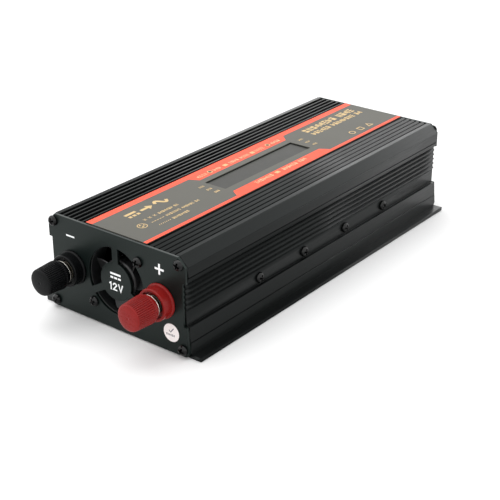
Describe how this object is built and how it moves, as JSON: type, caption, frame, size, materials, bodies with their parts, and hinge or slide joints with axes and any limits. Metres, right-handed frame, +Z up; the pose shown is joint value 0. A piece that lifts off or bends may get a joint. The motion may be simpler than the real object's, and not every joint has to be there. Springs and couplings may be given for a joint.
{
  "type": "power inverter",
  "caption": "Portable 12 V power inverter: ribbed aluminium case with foot flanges, fan and battery posts at the front, AC outlet, USB socket and switch at the rear.",
  "frame": {"origin": "centre of the case's flat underside", "axes": "+X towards the positive battery post, +Y from the fan end to the outlet end, +Z up"},
  "size_m": [0.109, 0.2698, 0.0553],
  "materials": {
    "case_aluminium": "black anodised, satin",
    "panel_aluminium": "black anodised, fine matt",
    "label_film": "printed polycarbonate film, satin",
    "smoked_window": "smoked, clear gloss",
    "module_plastic": "moulded",
    "black_plastic": "moulded nylon, satin",
    "red_plastic": "moulded nylon, satin",
    "fan_plastic": "moulded PBT",
    "socket_plastic": "moulded, fine texture",
    "black_steel": "black zinc plated",
    "brass": "bright turned",
    "nickel_plate": "nickel plated, bright",
    "copper_strip": "copper strip, tinned at the foot",
    "clamp_aluminium": "mill finish",
    "board_laminate": "glass-epoxy laminate",
    "epoxy_package": "moulded epoxy with a tinned tab",
    "transformer_ferrite": "ferrite core under yellow tape",
    "capacitor_sleeve": "shrink sleeve over an aluminium can",
    "lamp_lens": "clear tinted",
    "sticker_paper": "coated paper"
  },
  "bodies": {
    "case": {"ac_outlet": "socket_plastic", "bottom_case": "case_aluminium", "capacitor_1": "capacitor_sleeve", "capacitor_2": "capacitor_sleeve", "circuit_board": "board_laminate", "clamp_bar_left": "clamp_aluminium", "clamp_bar_right": "clamp_aluminium", "display_module": "module_plastic", "display_window": "smoked_window", "fan_frame": "fan_plastic", "fan_screw_1": "black_steel", "fan_screw_2": "black_steel", "front_corner_screw_1": "black_steel", "front_corner_screw_2": "black_steel", "front_corner_screw_3": "black_steel", "front_corner_screw_4": "black_steel", "front_panel": "panel_aluminium", "label_panel": "label_film", "negative_post_collar": "black_plastic", "negative_post_nut": "nickel_plate", "negative_post_stud": "brass", "negative_supply_strap": "copper_strip", "positive_post_collar": "red_plastic", "positive_post_nut": "nickel_plate", "positive_post_stud": "brass", "positive_supply_strap": "copper_strip", "power_lamp": "lamp_lens", "power_transistor_left_1": "epoxy_package", "power_transistor_left_2": "epoxy_package", "power_transistor_left_3": "epoxy_package", "power_transistor_left_4": "epoxy_package", "power_transistor_right_1": "epoxy_package", "power_transistor_right_2": "epoxy_package", "power_transistor_right_3": "epoxy_package", "power_transistor_right_4": "epoxy_package", "quality_sticker": "sticker_paper", "rear_corner_screw_1": "black_steel", "rear_corner_screw_2": "black_steel", "rear_corner_screw_3": "black_steel", "rear_corner_screw_4": "black_steel", "rear_panel": "panel_aluminium", "side_screw_left_1": "black_steel", "side_screw_left_2": "black_steel", "side_screw_left_3": "black_steel", "side_screw_left_4": "black_steel", "side_screw_right_1": "black_steel", "side_screw_right_2": "black_steel", "side_screw_right_3": "black_steel", "side_screw_right_4": "black_steel", "switch_housing": "socket_plastic", "top_cover": "case_aluminium", "transformer_1": "transformer_ferrite", "transformer_2": "transformer_ferrite", "usb_socket": "nickel_plate"},
    "fan": {"fan_rotor": "fan_plastic"},
    "negative_insert": {"negative_post_insert": "nickel_plate"},
    "negative_knob": {"negative_post_knob": "black_plastic"},
    "positive_insert": {"positive_post_insert": "nickel_plate"},
    "positive_knob": {"positive_post_knob": "red_plastic"},
    "rocker": {"switch_rocker": "socket_plastic"}
  },
  "joints": [
    {"name": "fan_spin", "type": "hinge", "parent": "case", "child": "fan", "pos_m": [0, -0.1135, 0.0283], "axis": [0, 1, 0], "continuous": true},
    {"name": "negative_knob_travel", "type": "slide", "parent": "case", "child": "negative_insert", "axis": [0, -1, 0], "range_m": [-0.0015, 0.003]},
    {"name": "negative_knob_turn", "type": "hinge", "parent": "negative_insert", "child": "negative_knob", "pos_m": [-0.0304, -0.136, 0.0275], "axis": [0, -1, 0], "range_deg": [-540, 1080]},
    {"name": "positive_knob_travel", "type": "slide", "parent": "case", "child": "positive_insert", "axis": [0, -1, 0], "range_m": [-0.0015, 0.003]},
    {"name": "positive_knob_turn", "type": "hinge", "parent": "positive_insert", "child": "positive_knob", "pos_m": [0.0304, -0.136, 0.0275], "axis": [0, -1, 0], "range_deg": [-540, 1080]},
    {"name": "switch_rock", "type": "hinge", "parent": "case", "child": "rocker", "pos_m": [0.0245, 0.1212, 0.0205], "axis": [1, 0, 0], "range_deg": [0, 22]}
  ],
  "couplings": [
    {"joint": "negative_knob_turn", "follows": "negative_knob_travel", "rad_per_m": 6283.2},
    {"joint": "positive_knob_turn", "follows": "positive_knob_travel", "rad_per_m": 6283.2}
  ]
}
